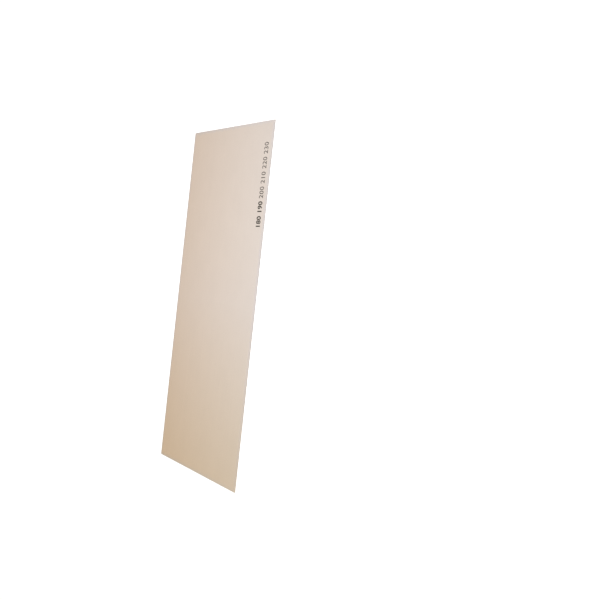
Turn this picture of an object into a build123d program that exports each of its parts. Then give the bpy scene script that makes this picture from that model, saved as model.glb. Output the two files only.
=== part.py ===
"""A tapered-edge drywall sheet, lying flat with its face side up.

A drywall sheet is a core of gypsum between two facing papers. It is made as one endless ribbon and
cut square, so every piece here is a cross-section drawn across the width and extruded along the length.

X runs along the length, Y across the width and Z through the thickness. The origin is the middle of
the back, where the sheet rests. All sizes are in millimetres.
"""

import os

from build123d import *

# Overall size of the sheet.
board_length = 2500.0
board_width = 1200.0
board_thickness = 9.5

# The facing papers.
face_paper_thickness = 0.35
back_paper_thickness = 0.30

# Each long margin of the face is pressed thinner, to take joint tape and filler.
# The slope leaves the flat face in a soft bend, not in a crease.
taper_width = 50.0
taper_depth = 1.2
taper_bend_radius = 500.0

# The face paper is creased round each long edge and folded under the core.
face_edge_radius = 1.2
back_edge_radius = 1.6
flap_width = 22.0

# The back paper is narrower than the sheet and is glued over the two folded flaps.
back_paper_margin = 9.0

# Levels and half sizes that follow from them.
half_width = board_width / 2
flap_underside = back_paper_thickness
flap_topside = flap_underside + face_paper_thickness
edge_top = board_thickness - taper_depth


def corners_at(section, height):
    """The corners of a cross-section that lie at one height."""
    return section.vertices().filter_by(lambda corner: abs(corner.Y - height) < 0.001)


def wrapped_section():
    """Everything above the back paper: flat back, rounded long edges, tapered margins and flat face."""
    outline = Polyline(
        (-half_width, flap_underside),
        (half_width, flap_underside),
        (half_width, edge_top),
        (half_width - taper_width, board_thickness),
        (-half_width + taper_width, board_thickness),
        (-half_width, edge_top),
        close=True,
    )
    section = make_face(outline)
    section = fillet(corners_at(section, flap_underside), back_edge_radius)
    section = fillet(corners_at(section, edge_top), face_edge_radius)
    return fillet(corners_at(section, board_thickness), taper_bend_radius)


def face_paper_section():
    """One sheet of paper over the face, round both long edges and folded in under the core."""
    section = wrapped_section()
    inside = offset(section, amount=-face_paper_thickness)
    gap_between_flaps = Pos(0, (flap_underside + flap_topside) / 2) * Rectangle(
        board_width - 2 * flap_width, face_paper_thickness
    )
    return section - inside - gap_between_flaps


def gypsum_core_section():
    """The gypsum fills the folded paper and reaches down between its flaps to the back paper."""
    return wrapped_section() - face_paper_section()


def back_paper_section():
    """A flat strip of paper, lapped over the flaps and stopping short of the long edges."""
    return Pos(0, back_paper_thickness / 2) * Rectangle(
        board_width - 2 * back_paper_margin, back_paper_thickness
    )


def cut_to_length(section):
    """Runs a cross-section along the sheet, between its two square-cut ends."""
    return extrude(Plane.YZ * section, amount=board_length / 2, both=True)


pieces = {
    "gypsum_core": cut_to_length(gypsum_core_section()),
    "face_paper": cut_to_length(face_paper_section()),
    "back_paper": cut_to_length(back_paper_section()),
}

os.makedirs("parts", exist_ok=True)
for name, piece in pieces.items():
    export_step(piece, f"parts/{name}.step")
    print(name, "solids", len(piece.solids()), "volume in litres", round(piece.volume / 1e6, 3))
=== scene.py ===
"""The looks of a tapered-edge drywall sheet that lies face up on a pale floor.

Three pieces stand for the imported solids, at their size and place: the gypsum with its two rough cut
ends, the cream face paper folded round both long edges, and the grey-brown back paper. A fourth is a
row of plain numbers printed on the face. Lengths are in metres. X runs along the sheet, Y across it
and Z up through its thickness, as in the frame.
"""

import math

import bmesh
import bpy
import numpy as np
from mathutils import Matrix, Vector


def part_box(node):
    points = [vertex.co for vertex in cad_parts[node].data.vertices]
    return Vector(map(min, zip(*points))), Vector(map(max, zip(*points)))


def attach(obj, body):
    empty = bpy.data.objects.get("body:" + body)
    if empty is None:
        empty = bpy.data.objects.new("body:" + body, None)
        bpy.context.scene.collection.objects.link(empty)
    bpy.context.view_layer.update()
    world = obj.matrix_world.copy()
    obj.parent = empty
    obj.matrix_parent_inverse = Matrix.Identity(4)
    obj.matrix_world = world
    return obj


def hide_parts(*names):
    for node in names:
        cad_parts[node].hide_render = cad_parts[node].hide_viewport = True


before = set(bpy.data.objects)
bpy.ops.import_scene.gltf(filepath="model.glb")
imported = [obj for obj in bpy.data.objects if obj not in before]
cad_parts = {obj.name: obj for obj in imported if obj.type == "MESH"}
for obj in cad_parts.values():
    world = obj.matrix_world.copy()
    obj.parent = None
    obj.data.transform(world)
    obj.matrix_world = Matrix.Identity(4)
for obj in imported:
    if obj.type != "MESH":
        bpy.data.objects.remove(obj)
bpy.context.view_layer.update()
mm = 0.001

# The sheet's size, read from the frame.
paper_low, paper_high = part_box("face_paper")
half_length = paper_high.x
half_width = paper_high.y
face_height = paper_high.z
back_thickness = paper_low.z
back_half_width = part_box("back_paper")[1].y

# The cross-section's own sizes, as the part's source has them.
paper_thickness = 0.35 * mm
taper_width = 50 * mm
taper_depth = 1.2 * mm
taper_bend_radius = 500 * mm
face_edge_radius = 1.2 * mm
back_edge_radius = 1.6 * mm
flap_width = 22 * mm

# The camera: a 55 mm lens, rolled so that the sheet's length runs up the picture. The azimuth
# turns from +Y towards +X, and the elevation looks down.
camera_place = Vector((0.2035, -5.892, 3.048))
camera_azimuth = math.radians(-1.40)
camera_elevation = math.radians(32.65)
camera_roll = math.radians(-84.46)
camera_lens = 55.0


# Random fields for uneven edges and cut gypsum.

def value_noise(u, v, cell, seed):
    """A smooth random field from -1 to 1, with features about one cell across."""
    lattice_size = 257
    lattice = np.random.default_rng(seed).uniform(-1, 1, (lattice_size, lattice_size))
    column = np.floor(u / cell).astype(int)
    row = np.floor(v / cell).astype(int)
    across = u / cell - column
    up = v / cell - row
    across = across * across * (3 - 2 * across)
    up = up * up * (3 - 2 * up)

    def corner(i, j):
        return lattice[(column + i) % lattice_size, (row + j) % lattice_size]

    low = corner(0, 0) * (1 - across) + corner(1, 0) * across
    high = corner(0, 1) * (1 - across) + corner(1, 1) * across
    return low * (1 - up) + high * up


def layered_noise(u, v, cell, seed, layers=3):
    """Value noise with finer and weaker layers added, still from -1 to 1."""
    total = 0
    for layer in range(layers):
        total = total + value_noise(u, v, cell / 2**layer, seed + layer) / 2**layer
    return total / (2 - 2 ** (1 - layers))


# Closed skins made of patches.

class Skin:
    """A closed surface made of grids of points that meet at their rims."""

    def __init__(self):
        self.points = []
        self.faces = []
        self.map = []
        self.count = 0

    def patch(self, grid, map_box, row_share=None, column_share=None):
        """Adds a grid of points, in rows and columns, and its place in the map for baking.

        The map box is (left, bottom, right, top). Columns run left to right in it and rows bottom
        to top, evenly or by the shares given.
        """
        rows, columns = grid.shape[:2]
        left, bottom, right, top = map_box
        row_share = np.linspace(0, 1, rows) if row_share is None else row_share
        column_share = np.linspace(0, 1, columns) if column_share is None else column_share
        u, v = np.meshgrid(left + (right - left) * column_share, bottom + (top - bottom) * row_share)
        row, column = np.meshgrid(np.arange(rows - 1), np.arange(columns - 1), indexing="ij")
        corner = (row * columns + column).ravel()
        quads = np.stack([corner, corner + 1, corner + columns + 1, corner + columns], axis=-1)
        self.points.append(grid.reshape(-1, 3))
        self.faces.append(quads + self.count)
        self.map.append(np.stack([u, v], axis=-1).reshape(-1, 2)[quads].reshape(-1, 2))
        self.count += rows * columns

    def make(self, name, sharp_above=35):
        """Joins the patches where they meet and gives the closed piece."""
        mesh = bpy.data.meshes.new(name)
        mesh.from_pydata(np.concatenate(self.points), [], np.concatenate(self.faces))
        layer = mesh.uv_layers.new(name="OFBake")
        layer.data.foreach_set("uv", np.concatenate(self.map).astype(np.float32).ravel())
        same_place = 0.001 * mm
        joined = bmesh.new()
        joined.from_mesh(mesh)
        bmesh.ops.remove_doubles(joined, verts=joined.verts, dist=same_place)
        return finished_piece(name, mesh, joined, sharp_above)


def finished_piece(name, mesh, built, sharp_above=35):
    """Turns every face outwards, shades it smooth between sharp edges and gives the piece."""
    bmesh.ops.recalc_face_normals(built, faces=built.faces)
    built.to_mesh(mesh)
    built.free()
    mesh.shade_smooth()
    mesh.set_sharp_from_angle(angle=math.radians(sharp_above))
    piece = bpy.data.objects.new(name, mesh)
    bpy.context.scene.collection.objects.link(piece)
    return piece


# The cross-section of the folded face paper.

def arc(centre, radius, start, end, steps=8):
    """Points along an arc and the way out at each, with angles in degrees from +Y towards +Z."""
    turn = np.radians(np.linspace(start, end, steps + 1))
    outward = np.stack([np.cos(turn), np.sin(turn)], axis=1)
    return np.array(centre) + radius * outward, outward


def run(start, end, spacing):
    """Points between two ends, without the ends, and the way out at each, on the right hand."""
    way = np.array(end) - np.array(start)
    length = np.hypot(*way)
    steps = max(2, round(length / spacing))
    share = np.arange(1, steps)[:, None] / steps
    outward = np.array([way[1], -way[0]]) / length
    return np.array(start) + share * way, np.tile(outward, (steps - 1, 1))


taper_slope = math.atan(taper_depth / taper_width)
bend_reach = taper_bend_radius * math.tan(taper_slope / 2)
bend_start = half_width - taper_width - bend_reach
back_arc_centre = (half_width - back_edge_radius, back_thickness + back_edge_radius)
face_arc_centre = (
    half_width - face_edge_radius,
    face_height - taper_depth + face_edge_radius * (math.tan(taper_slope) - 1 / math.cos(taper_slope)),
)
flap_start = half_width - flap_width


def paper_outline(spacing):
    """The outside of the face paper in the YZ plane, from the -Y flap over the face to the +Y flap.

    Gives the places and the way out at each. The paper's inside is one thickness inwards.
    """
    slope = math.degrees(taper_slope)
    flap_end = (flap_start, back_thickness)
    back_arc = arc(back_arc_centre, back_edge_radius, -90, 0)
    face_arc = arc(face_arc_centre, face_edge_radius, 0, 90 - slope)
    bend_arc = arc((bend_start, face_height - taper_bend_radius), taper_bend_radius, 90 - slope, 90)
    stretches = [
        (np.array([flap_end]), np.array([[0.0, -1.0]])),
        run(flap_end, back_arc[0][0], spacing / 2),
        back_arc,
        run(back_arc[0][-1], face_arc[0][0], spacing / 2),
        face_arc,
        run(face_arc[0][-1], bend_arc[0][0], spacing),
        bend_arc,
        run(bend_arc[0][-1], (0, face_height), spacing),
    ]
    places = np.concatenate([stretch[0] for stretch in stretches])
    outward = np.concatenate([stretch[1] for stretch in stretches])
    mirror = np.array([-1, 1])
    places = np.concatenate([places * mirror, [[0, face_height]], places[::-1]])
    outward = np.concatenate([outward * mirror, [[0, 1]], outward[::-1]])
    return places, outward


def stations(spacing):
    """Places along the sheet from end to end, close together at the two ends."""
    near_end = np.array([0, 0.4, 1.2, 3, 8, 20]) * mm
    inner = half_length - near_end[-1]
    middle = np.linspace(-inner, inner, round(2 * inner / spacing) + 1)[1:-1]
    return np.concatenate([near_end - half_length, middle, half_length - near_end[::-1]])


def end_share(x, reach):
    """1 at a cut end, falling to 0 at that reach from it."""
    return np.clip(1 - (half_length - np.abs(x)) / reach, 0, 1)


# The three pieces of the sheet.

def make_face_paper():
    """A thin folded skin, a little wavy along its creases and uneven where it is cut."""
    crease_wave = 0.15 * mm
    crease_cell = 130 * mm
    straight_end = 60 * mm
    cut_wave = 0.22 * mm
    cut_cell = 9 * mm
    cut_reach = 1.0 * mm
    places, outward = paper_outline(spacing=3 * mm)
    along = stations(45 * mm)
    distance = np.concatenate([[0], np.cumsum(np.hypot(*np.diff(places, axis=0).T))])
    x, s = np.meshgrid(along, distance)
    y, z = (np.repeat(places[:, [axis]], len(along), axis=1) for axis in (0, 1))
    way_y, way_z = (np.repeat(outward[:, [axis]], len(along), axis=1) for axis in (0, 1))

    # The sign of a place gives each side and each end a part of the field of its own.
    wave = crease_wave * (0.5 + 0.5 * layered_noise(x, np.sign(y) * 7, crease_cell, seed=11))
    y = y - way_y * np.abs(way_y) * wave * (1 - end_share(x, straight_end))
    cut = cut_wave * (0.5 + 0.5 * layered_noise(s, np.sign(x) * 5, cut_cell, seed=23))
    x = x - np.sign(x) * end_share(x, cut_reach) * cut
    outside = np.stack([x, y, z], axis=-1)
    inside = outside - paper_thickness * np.stack([np.zeros_like(x), way_y, way_z], axis=-1)

    # The map unrolls the paper, with more room for the folds than for the wide face.
    unrolled = distance[-1]
    fold = (unrolled - 2 * half_width) / 2
    share = np.interp(distance, [0, fold, unrolled - fold, unrolled], [0, 0.07, 0.93, 1])
    left, right, bottom, top = 0.008, 0.992, 0.01, 0.93
    skin = Skin()
    skin.patch(outside, (left, bottom, right, top), row_share=share)
    skin.patch(inside, (left, 0.96, right, 1), row_share=share)
    skin.patch(np.stack([inside[:, 0], outside[:, 0]], axis=1), (0, bottom, left, top), row_share=share)
    skin.patch(
        np.stack([outside[:, -1], inside[:, -1]], axis=1), (right, bottom, 1, top), row_share=share
    )
    skin.patch(np.stack([inside[0], outside[0]]), (left, 0, right, bottom))
    skin.patch(np.stack([outside[-1], inside[-1]]), (left, top, right, top + bottom))
    return skin.make("face_paper_sheet")


def gypsum_columns(spacing):
    """Places across the gypsum from side to side, and its underside and top at each."""
    flap_step = 0.05 * mm
    side = half_width - paper_thickness
    rounding = (back_edge_radius - paper_thickness) * (1 - np.cos(np.radians(np.linspace(90, 0, 9))))
    middle = np.linspace(0, flap_start - flap_step, round(flap_start / spacing))
    over_flap = np.arange(flap_start, side - rounding[0], spacing)
    half = np.concatenate([middle, over_flap[:-1], side - rounding])
    y = np.concatenate([-half[:0:-1], half])

    places, outward = paper_outline(spacing)
    inner = places - paper_thickness * outward
    tiny = 0.001 * mm
    upper = inner[inner[:, 1] > face_arc_centre[1] - tiny]
    lower = inner[inner[:, 1] < back_arc_centre[1] + tiny]
    lower = lower[np.argsort(lower[:, 0])]
    top = np.interp(y, upper[:, 0], upper[:, 1])
    under = np.interp(y, lower[:, 0], lower[:, 1])
    under[np.abs(y) < flap_start - flap_step / 2] = back_thickness
    return y, under, top


def cut_depth(y, z, seed):
    """How far the sawn gypsum lies behind the sheet's end: rough, pitted and chipped at its rims."""
    pits = 650
    chips = 26
    mean_depth = 0.30 * mm
    waviness = 0.12 * mm
    grain = 0.05 * mm
    depth = mean_depth + waviness * layered_noise(y, z, 5 * mm, seed, layers=4)
    depth += grain * value_noise(y, z / 8, 1.4 * mm, seed + 50)
    columns = y[0]
    random = np.random.default_rng(seed)

    def hollow(centre_y, centre_z, reach_y, reach_z, deepest):
        window = slice(*np.searchsorted(columns, [centre_y - reach_y, centre_y + reach_y]))
        across = (y[:, window] - centre_y) / reach_y
        up = (z[:, window] - centre_z) / reach_z
        depth[:, window] += deepest * np.clip(1 - across**2 - up**2, 0, 1)

    for _ in range(pits):
        radius = random.uniform(0.4, 1.1) ** 2 * mm
        pit_z = random.uniform(1, 8.5) * mm
        hollow(random.uniform(columns[0], columns[-1]), pit_z, radius, radius, 0.6 * radius)
    for _ in range(chips):
        chip_z = random.choice([z.min(), z.max()])
        width = random.uniform(1.0, 3.5) * mm
        height = random.uniform(0.7, 1.6) * mm
        deepest = random.uniform(0.6, 1.6) * mm
        hollow(random.uniform(columns[0], columns[-1]), chip_z, width, height, deepest)
    return depth


def make_gypsum_core():
    """A block inside the papers. Its two sawn ends show, and the rest is hidden."""
    y, under, top = gypsum_columns(spacing=0.5 * mm)
    rows = 17
    strip_width = 150 * mm
    strips = 8
    ends_top = 0.92
    strip_height = ends_top / (2 * strips)
    margin = 0.004
    edges = np.searchsorted(y, (np.arange(1, strips) - strips / 2) * strip_width)
    edges = [0, *edges, len(y) - 1]
    wide_y = np.repeat(y[None, :], rows, axis=0)
    z = under + np.linspace(0, 1, rows)[:, None] * (top - under)

    skin = Skin()
    cuts = []
    for index, end in enumerate((-1, 1)):
        x = end * (half_length - cut_depth(wide_y, z, seed=70 + index))
        grid = np.stack([x, wide_y, z], axis=-1)
        cuts.append(grid)
        for strip in range(strips):
            first, last = edges[strip], edges[strip + 1]
            width = y[last] - y[first]
            bottom = (index * strips + strip) * strip_height
            box = (margin, bottom + margin, 0.99 * width / strip_width, bottom + strip_height - margin)
            share = (y[first : last + 1] - y[first]) / width
            skin.patch(grid[:, first : last + 1], box, column_share=share)

    # The hidden body joins the rims of the two cuts, in narrow bands at the top of the map.
    low, high = cuts
    hidden_sides = (
        (low[-1], high[-1], 0.93, 0.95),
        (low[0], high[0], 0.955, 0.97),
        (low[:, 0], high[:, 0], 0.975, 0.98),
        (low[:, -1], high[:, -1], 0.985, 0.99),
    )
    for low_rim, high_rim, band_bottom, band_top in hidden_sides:
        skin.patch(np.stack([low_rim, high_rim]), (0, band_bottom, 1, band_top))
    return skin.make("gypsum_core_block", sharp_above=60)


def make_back_paper():
    """A flat strip over the flaps, with raw long edges that wander a little."""
    edge_wave = 0.5 * mm
    edge_cell = 110 * mm
    edge_reach = 20 * mm
    cut_wave = 0.25 * mm
    cut_cell = 16 * mm
    cut_reach = 1.0 * mm
    row_spacing = 8 * mm
    near_edge = np.array([0, 2, 6, 12]) * mm
    inner = back_half_width - near_edge[-1]
    middle = np.linspace(-inner, inner, round(2 * inner / row_spacing) + 1)[1:-1]
    across = np.concatenate([near_edge - back_half_width, middle, back_half_width - near_edge[::-1]])
    x, y = np.meshgrid(stations(16 * mm), across)
    wave = edge_wave * (0.5 + 0.5 * layered_noise(x, np.sign(y) * 3, edge_cell, seed=31, layers=4))
    near = np.clip((np.abs(y) - back_half_width) / edge_reach + 1, 0, 1)
    cut = cut_wave * (0.5 + 0.5 * layered_noise(y, np.sign(x) * 4, cut_cell, seed=37))
    x = x - np.sign(x) * end_share(x, cut_reach) * cut
    y = y - np.sign(y) * near * wave
    underside = np.stack([x, y, np.zeros_like(x)], axis=-1)
    topside = underside + np.array([0, 0, back_thickness])

    left, right, bottom, top = 0.008, 0.992, 0.01, 0.88
    skin = Skin()
    skin.patch(underside, (left, bottom, right, top))
    skin.patch(topside, (left, 0.92, right, 1))
    skin.patch(np.stack([topside[:, 0], underside[:, 0]], axis=1), (0, bottom, left, top))
    skin.patch(np.stack([underside[:, -1], topside[:, -1]], axis=1), (right, bottom, 1, top))
    skin.patch(np.stack([topside[0], underside[0]]), (left, 0, right, bottom))
    skin.patch(np.stack([underside[-1], topside[-1]]), (left, top, right, top + bottom))
    return skin.make("back_paper_sheet")


# The plain numbers printed along the -Y margin.

def face_level(y):
    """The height of the face at a place across it, up to the rounded long edge."""
    past_bend = abs(y) - bend_start
    if past_bend <= 0:
        return face_height
    if past_bend < taper_bend_radius * math.sin(taper_slope):
        drop = taper_bend_radius - math.sqrt(taper_bend_radius**2 - past_bend**2)
        return face_height - drop
    return face_height - taper_depth * (abs(y) - half_width + taper_width) / taper_width


def printed_number(text, weight):
    """One number as a closed block, read along +X and centred on its origin, and its size.

    The weight pushes its outline out. Its underside is at 0, its rim at 2/3 and its top at 1.
    """
    outline = bpy.data.curves.new("number", "FONT")
    outline.body = text
    outline.align_x = "CENTER"
    outline.space_character = 1.06
    outline.resolution_u = 10
    outline.extrude = weight
    outline.bevel_depth = weight
    outline.bevel_resolution = 0
    writer = bpy.data.objects.new("number", outline)
    block = bpy.data.meshes.new_from_object(writer)
    bpy.data.objects.remove(writer)
    corners = np.array([corner.co for corner in block.vertices])
    low, high = corners.min(0), corners.max(0)
    for corner in block.vertices:
        corner.co.y -= (low[1] + high[1]) / 2
        corner.co.z = (max(corner.co.z, -weight) / weight + 1) / 3
    return block, high - low


def make_printed_numbers():
    """A row of plain numbers every 100 mm, the first two heavier than the rest."""
    numbers = range(180, 240, 10)
    heavy_below = 200
    heavy, light = 0.034, 0.010
    first_number_x = 565 * mm
    number_pitch = 100 * mm
    number_height = 54 * mm
    number_width = 79 * mm
    number_middle = 70 * mm - half_width
    ink_thickness = 0.05 * mm
    same_place = 0.005 * mm

    built = bmesh.new()
    _, pattern = printed_number("200", light)
    size = Matrix.Diagonal((number_width / pattern[0], number_height / pattern[1], 1, 1))
    for index, number in enumerate(numbers):
        block, _ = printed_number(str(number), heavy if number < heavy_below else light)
        place = Matrix.Translation((first_number_x + index * number_pitch, number_middle, 0))
        block.transform(place @ size)
        built.from_mesh(block)

    # Cuts along the bend let the ink follow it.
    for cut in np.arange(-bend_start - 2 * bend_reach, -bend_start + 0.1 * mm, bend_reach / 3):
        everything = [*built.verts, *built.edges, *built.faces]
        bmesh.ops.bisect_plane(built, geom=everything, plane_co=(0, cut, 0), plane_no=(0, 1, 0))
    bmesh.ops.remove_doubles(built, verts=built.verts, dist=same_place)
    bmesh.ops.triangulate(built, faces=built.faces)
    for corner in built.verts:
        corner.co.z = face_level(corner.co.y) + ink_thickness * corner.co.z
    return finished_piece("printed_numbers", bpy.data.meshes.new("printed_numbers"), built)


# Finishes. Patterns are placed in the sheet's own frame, with sizes in metres.

class Finish:
    """A rough procedural material, and short calls for the nodes that the finishes share.

    The pattern of a paper is flat and goes round the folds. Any other fills the solid.
    """

    def __init__(self, name, roughness, specular=0.3, paper=False):
        self.material = bpy.data.materials.new(name)
        self.material.use_nodes = True
        self.tree = self.material.node_tree
        self.shader = self.tree.nodes["Principled BSDF"]
        self.shader.inputs["Roughness"].default_value = roughness
        self.shader.inputs["Specular IOR Level"].default_value = specular
        self.place = self.tree.nodes.new("ShaderNodeTexCoord").outputs["Object"]
        self.normal = None
        self.paper = paper
        self.pattern = self.place
        if paper:
            around = self.math("ADD", self.axis("Y"), self.axis("Z"))
            self.pattern = self.node("ShaderNodeCombineXYZ", {0: self.axis("X"), 1: around}).outputs[0]

    def fill(self, socket, value):
        """Sets a socket to a number, or links it to another node's output."""
        if isinstance(value, bpy.types.NodeSocket):
            self.tree.links.new(value, socket)
        else:
            socket.default_value = value

    def node(self, kind, inputs, **settings):
        node = self.tree.nodes.new(kind)
        for setting, value in settings.items():
            setattr(node, setting, value)
        for socket, value in inputs.items():
            self.fill(node.inputs[socket], value)
        return node

    def stretched(self, scale, shift=(0, 0, 0)):
        """The place in the pattern, scaled on each axis, so that a scale of 10 repeats each 100 mm."""
        inputs = {"Vector": self.pattern, "Scale": scale, "Location": shift}
        return self.node("ShaderNodeMapping", inputs).outputs[0]

    def noise(self, scale, detail=2.0, rough=0.5):
        """Cloudy noise about 0.5, with features one part in scale of a metre across."""
        scale = (scale, scale, scale) if isinstance(scale, float) else scale
        inputs = {"Vector": self.stretched(scale), "Scale": 1.0, "Detail": detail, "Roughness": rough}
        return self.node("ShaderNodeTexNoise", inputs).outputs["Fac"]

    def remap(self, field, low, high, to_low, to_high):
        """Maps a field from one range to another, held at its ends."""
        inputs = {"Value": field, "From Min": low, "From Max": high, "To Min": to_low, "To Max": to_high}
        return self.node("ShaderNodeMapRange", inputs).outputs[0]

    def math(self, operation, first, second=0.0):
        return self.node("ShaderNodeMath", {0: first, 1: second}, operation=operation).outputs[0]

    def axis(self, name):
        """The distance along one axis from the sheet's middle."""
        return self.node("ShaderNodeSeparateXYZ", {0: self.place}).outputs[name]

    def mix(self, factor, first, second):
        inputs = {0: factor, 6: first, 7: second}
        return self.node("ShaderNodeMix", inputs, data_type="RGBA").outputs[2]

    def times(self, colour, field):
        """A colour multiplied by a field."""
        return self.node("ShaderNodeVectorMath", {0: colour, 1: field}, operation="MULTIPLY").outputs[0]

    def specks(self, spacing, size, share, stretch=1.0, uneven=0.4, shift=0.0):
        """1 inside scattered specks and 0 elsewhere, in one cell in each spacing across.

        The size is the largest radius across the sheet, and most are smaller. The stretch is how
        much longer they are along it. The share says how many cells hold one.
        """
        smallest = 0.3 * size
        firm_share = 0.6
        place = self.stretched((1 / (spacing * stretch), 1 / spacing, 1 / spacing), (shift, shift, 0))
        wander = self.node("ShaderNodeTexNoise", {"Vector": place, "Scale": 2.5}).outputs["Color"]
        bent = {0: wander, 1: (uneven, uneven, uneven), 2: place}
        bent = self.node("ShaderNodeVectorMath", bent, operation="MULTIPLY_ADD").outputs[0]
        dimensions = "2D" if self.paper else "3D"
        cells = {"Vector": bent, "Scale": 1.0}
        cells = self.node("ShaderNodeTexVoronoi", cells, voronoi_dimensions=dimensions).outputs
        random = self.node("ShaderNodeSeparateXYZ", {0: cells["Color"]}).outputs
        radius = self.remap(random[1], 0, 1, smallest / spacing, size / spacing)
        closeness = self.math("DIVIDE", cells["Distance"], radius)
        inside = self.remap(closeness, firm_share, 1, 1, 0)
        return self.math("MULTIPLY", inside, self.math("LESS_THAN", random[0], share))

    def cut_rim(self):
        """1 on the faces that look along the sheet, where it was cut, and 0 elsewhere."""
        along_enough = 0.7
        normal = self.node("ShaderNodeTexCoord", {}).outputs["Normal"]
        along = self.node("ShaderNodeSeparateXYZ", {0: normal}).outputs[0]
        return self.math("GREATER_THAN", self.math("ABSOLUTE", along), along_enough)

    def bump(self, field, depth):
        """Raises the surface by a field times the depth in metres, over the bumps before it."""
        inputs = {"Height": field, "Distance": depth, "Strength": 1.0}
        if self.normal:
            inputs["Normal"] = self.normal
        self.normal = self.node("ShaderNodeBump", inputs).outputs[0]

    def done(self, colour):
        self.fill(self.shader.inputs["Base Color"], colour)
        self.fill(self.shader.inputs["Normal"], self.normal)
        return self.material


def grey(value):
    return (value, value, value, 1.0)


def rgb(red, green, blue):
    return (red, green, blue, 1.0)


def face_paper_finish():
    """Smooth cream paper: cloudy and faintly streaked along the machine's run, with painted light and
    shade across it and painted shade beside its edges.
    """
    finish = Finish("cream_face_paper", roughness=0.88, paper=True)
    # Painted light and shade: the cream is painted paler and cooler towards -Y, and darker and warmer
    # towards +Y and towards the -X end. This is a lighting gradient laid into the paper's colour.
    pale = rgb(0.750, 0.664, 0.604)
    cream = rgb(0.712, 0.580, 0.476)
    tan = rgb(0.955, 0.880, 0.725)
    across = finish.remap(finish.axis("Y"), -half_width, half_width, 0, 1)
    along = finish.remap(finish.axis("X"), 0, -half_length, 0, 1)
    colour = finish.mix(across, pale, cream)
    colour = finish.times(colour, finish.mix(along, grey(1), tan))

    clouds = finish.remap(finish.noise(5.0, detail=4.0, rough=0.55), 0.25, 0.75, 0.985, 1.015)
    streaks = finish.remap(finish.noise((0.9, 70.0, 70.0), detail=3.0), 0.25, 0.75, 0.99, 1.01)
    flocks = finish.noise((170.0, 260.0, 260.0), detail=4.0, rough=0.65)
    flocks = finish.remap(flocks, 0.25, 0.75, 0.965, 1.035)
    for field in (clouds, streaks, flocks):
        colour = finish.times(colour, field)
    fibres = finish.specks(1.5 * mm, 0.20 * mm, share=0.7, stretch=6.0, uneven=1.0)
    colour = finish.mix(finish.math("MULTIPLY", fibres, 0.40), colour, rgb(0.86, 0.79, 0.72))
    flecks = finish.specks(8 * mm, 0.40 * mm, share=0.5, stretch=2.0, shift=3.1)
    colour = finish.mix(finish.math("MULTIPLY", flecks, 0.50), colour, rgb(0.42, 0.32, 0.24))

    # Painted shade: the paper is greyed beside its long edges and its cut ends, and most along +Y, the
    # side away from the key.
    reach = 26 * mm
    from_side = finish.math("SUBTRACT", half_width, finish.math("ABSOLUTE", finish.axis("Y")))
    from_end = finish.math("SUBTRACT", half_length, finish.math("ABSOLUTE", finish.axis("X")))
    wander = finish.noise(30.0, detail=5.0, rough=0.6)
    wander = finish.remap(wander, 0.3, 0.7, -0.35 * reach, 0.35 * reach)
    nearest = finish.math("ADD", finish.math("MINIMUM", from_side, from_end), wander)
    painted_edge_shade = finish.remap(nearest, 0, reach, 1, 0)
    side = finish.remap(finish.axis("Y"), -half_width, half_width, 0.45, 1)
    painted_edge_shade = finish.math("MULTIPLY", painted_edge_shade, side)
    colour = finish.times(colour, finish.mix(painted_edge_shade, grey(1), rgb(0.87, 0.945, 1.08)))
    colour = finish.mix(finish.cut_rim(), colour, rgb(0.44, 0.38, 0.32))

    finish.bump(finish.noise((300.0, 500.0, 500.0), detail=4.0, rough=0.65), 0.12 * mm)
    finish.bump(fibres, 0.03 * mm)
    finish.bump(finish.noise((9.0, 22.0, 22.0), detail=2.0), 0.35 * mm)
    return finish.done(colour)


def gypsum_finish():
    """Pale grey set gypsum, foamed with bubbles of many sizes with painted shade in their hollows, and
    smeared with dust by the saw.
    """
    finish = Finish("sawn_gypsum", roughness=0.95, specular=0.2)
    mottle = finish.noise(260.0, detail=5.0, rough=0.65)
    colour = finish.mix(mottle, rgb(0.50, 0.49, 0.465), rgb(0.62, 0.61, 0.59))
    foam = finish.specks(0.8 * mm, 0.30 * mm, share=0.6, uneven=0.5)
    bubbles = finish.specks(2.9 * mm, 0.85 * mm, share=0.5, uneven=0.5, shift=5.3)
    # Painted shade: the hollows of the foam and the bubbles are painted dark.
    dark = rgb(0.30, 0.29, 0.27)
    colour = finish.mix(finish.math("MULTIPLY", foam, 0.40), colour, dark)
    colour = finish.mix(finish.math("MULTIPLY", bubbles, 0.45), colour, dark)
    dust = finish.remap(finish.noise(60.0, detail=5.0, rough=0.6), 0.48, 0.68, 0, 0.65)
    colour = finish.mix(dust, colour, rgb(0.69, 0.68, 0.66))
    fibres = finish.specks(4.0 * mm, 0.22 * mm, share=0.3, uneven=2.0, shift=9.7)
    colour = finish.mix(finish.math("MULTIPLY", fibres, 0.5), colour, rgb(0.33, 0.28, 0.23))
    finish.bump(finish.noise(1400.0, detail=3.0, rough=0.7), 0.12 * mm)
    finish.bump(finish.math("SUBTRACT", 1.0, foam), 0.10 * mm)
    finish.bump(finish.math("SUBTRACT", 1.0, bubbles), 0.30 * mm)
    return finish.done(colour)


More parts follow.
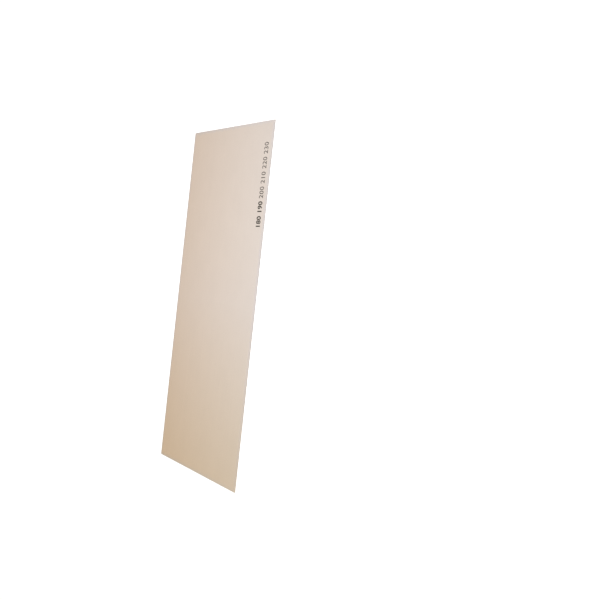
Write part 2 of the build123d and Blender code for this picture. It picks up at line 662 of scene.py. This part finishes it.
def back_paper_finish():
    """Coarse grey-brown recycled paper, with pale and dark fibres and a faint lengthwise grain."""
    finish = Finish("recycled_back_paper", roughness=0.92, specular=0.25, paper=True)
    clouds = finish.noise(7.0, detail=5.0, rough=0.6)
    colour = finish.mix(clouds, rgb(0.315, 0.270, 0.222), rgb(0.405, 0.352, 0.298))
    streaks = finish.remap(finish.noise((1.2, 55.0, 55.0), detail=4.0), 0.25, 0.75, 0.955, 1.045)
    flocks = finish.noise((120.0, 200.0, 200.0), detail=5.0, rough=0.75)
    flocks = finish.remap(flocks, 0.25, 0.75, 0.86, 1.14)
    for field in (streaks, flocks):
        colour = finish.times(colour, field)
    pale = finish.specks(1.9 * mm, 0.26 * mm, share=0.7, stretch=5.0, uneven=1.0)
    dark = finish.specks(2.8 * mm, 0.28 * mm, share=0.5, stretch=4.0, uneven=1.0, shift=4.7)
    scraps = finish.specks(15 * mm, 0.8 * mm, share=0.4, stretch=1.6, uneven=0.6, shift=7.9)
    colour = finish.mix(finish.math("MULTIPLY", pale, 0.55), colour, rgb(0.60, 0.56, 0.50))
    colour = finish.mix(finish.math("MULTIPLY", dark, 0.60), colour, rgb(0.13, 0.11, 0.09))
    colour = finish.mix(finish.math("MULTIPLY", scraps, 0.55), colour, rgb(0.14, 0.13, 0.12))
    colour = finish.mix(finish.cut_rim(), colour, rgb(0.27, 0.23, 0.19))
    finish.bump(finish.noise((260.0, 420.0, 420.0), detail=4.0, rough=0.7), 0.24 * mm)
    finish.bump(finish.math("ADD", pale, dark), 0.05 * mm)
    finish.bump(finish.noise((8.0, 18.0, 18.0), detail=3.0), 0.5 * mm)
    return finish.done(colour)


def ink_finish():
    """Warm grey ink, thin enough for the paper's grain to show through."""
    finish = Finish("stencil_ink", roughness=0.82)
    cover = finish.remap(finish.noise(420.0, detail=4.0, rough=0.65), 0.30, 0.50, 0, 1)
    clouds = finish.remap(finish.noise(60.0, detail=2.0), 0.3, 0.7, 0.85, 1.15)
    colour = finish.mix(cover, rgb(0.120, 0.104, 0.086), rgb(0.052, 0.045, 0.036))
    colour = finish.times(colour, clouds)
    fading = finish.remap(finish.axis("X"), 0.70, 0.80, 0, 0.35)
    colour = finish.mix(fading, colour, rgb(0.27, 0.24, 0.22))
    finish.bump(finish.noise(500.0, detail=3.0, rough=0.65), 0.05 * mm)
    return finish.done(colour)


# The floor, the light and the camera.

def seen_by_eye(tree):
    """1 for rays that show a thing to the eye, straight, by reflection or through glass."""
    path = tree.nodes.new("ShaderNodeLightPath")
    seen = path.outputs["Is Camera Ray"]
    for name in ("Is Glossy Ray", "Is Transmission Ray"):
        either = tree.nodes.new("ShaderNodeMath")
        either.operation = "MAXIMUM"
        tree.links.new(seen, either.inputs[0])
        tree.links.new(path.outputs[name], either.inputs[1])
        seen = either.outputs[0]
    return seen


def mix_colours(tree, factor, first, second):
    mix = tree.nodes.new("ShaderNodeMix")
    mix.data_type = "RGBA"
    tree.links.new(factor, mix.inputs[0])
    mix.inputs[6].default_value = first
    mix.inputs[7].default_value = second
    return mix.outputs[2]


def make_floor():
    """A wide pale disc, white to the eye except where the sheet shades it."""
    floor_radius = 60
    pale = grey(0.80)
    shown = grey(1.48)
    mesh = bpy.data.meshes.new("floor")
    built = bmesh.new()
    bmesh.ops.create_circle(built, cap_ends=True, radius=floor_radius, segments=96)
    built.to_mesh(mesh)
    built.free()
    floor = bpy.data.objects.new("floor", mesh)
    floor.location.z = -0.1 * mm
    bpy.context.scene.collection.objects.link(floor)
    material = bpy.data.materials.new("pale_floor")
    material.use_nodes = True
    tree = material.node_tree
    tree.nodes.remove(tree.nodes["Principled BSDF"])
    diffuse = tree.nodes.new("ShaderNodeBsdfDiffuse")
    colour = mix_colours(tree, seen_by_eye(tree), pale, shown)
    tree.links.new(colour, diffuse.inputs["Color"])
    tree.links.new(diffuse.outputs[0], tree.nodes["Material Output"].inputs["Surface"])
    mesh.materials.append(material)


def light_studio():
    """A soft high key from the -Y side, a large lamp over the +X half and an even surround."""
    scene = bpy.context.scene
    scene.view_settings.view_transform = "Standard"
    world = bpy.data.worlds.new("studio")
    world.use_nodes = True
    scene.world = world
    tree = world.node_tree
    surround = 0.35
    warm = rgb(surround, 0.97 * surround, 0.93 * surround)
    white = grey(1.1)
    colour = mix_colours(tree, seen_by_eye(tree), warm, white)
    tree.links.new(colour, tree.nodes["Background"].inputs["Color"])

    key_level = 0.37
    key_way = Vector((0.25, -0.62, 0.74)).normalized()
    key = bpy.data.lights.new("key", "SUN")
    key.angle = math.radians(30)
    key.energy = key_level * math.pi / key_way.z
    key_lamp = bpy.data.objects.new("key", key)
    key_lamp.rotation_euler = key_way.to_track_quat("Z", "Y").to_euler()
    scene.collection.objects.link(key_lamp)

    lamp_level = 0.36
    lamp_place = Vector((0.5, -0.7, 2.3))
    lamp = bpy.data.lights.new("overhead", "AREA")
    lamp.shape = "DISK"
    lamp.size = 2.0
    lamp.energy = lamp_level * (math.pi * lamp_place.z) ** 2
    lamp.color = (0.97, 0.99, 1.0)
    overhead = bpy.data.objects.new("overhead", lamp)
    overhead.location = lamp_place
    overhead.visible_camera = False
    scene.collection.objects.link(overhead)


def place_camera():
    """Sets the camera from its place, its direction and its roll."""
    level_right = Vector((math.cos(camera_azimuth), -math.sin(camera_azimuth), 0))
    forward = Vector((
        math.sin(camera_azimuth) * math.cos(camera_elevation),
        math.cos(camera_azimuth) * math.cos(camera_elevation),
        -math.sin(camera_elevation),
    ))
    level_up = level_right.cross(forward)
    right = level_right * math.cos(camera_roll) + level_up * math.sin(camera_roll)
    up = level_up * math.cos(camera_roll) - level_right * math.sin(camera_roll)
    lens = bpy.data.cameras.new("camera")
    lens.lens = camera_lens
    lens.sensor_width = 36.0
    lens.clip_end = 200
    camera = bpy.data.objects.new("camera", lens)
    turn = Matrix((right, up, -forward)).transposed().to_4x4()
    camera.matrix_world = Matrix.Translation(camera_place) @ turn
    bpy.context.scene.collection.objects.link(camera)
    bpy.context.scene.camera = camera


# Putting it together.

sheet_pieces = {
    "gypsum_core": (make_gypsum_core(), gypsum_finish()),
    "face_paper": (make_face_paper(), face_paper_finish()),
    "back_paper": (make_back_paper(), back_paper_finish()),
}
for node, (piece, finish) in sheet_pieces.items():
    piece.data.materials.append(finish)
    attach(piece, "root")
    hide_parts(node)

numbers = make_printed_numbers()
numbers.data.materials.append(ink_finish())
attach(numbers, "root")

make_floor()
light_studio()
place_camera()

bpy.context.view_layer.update()
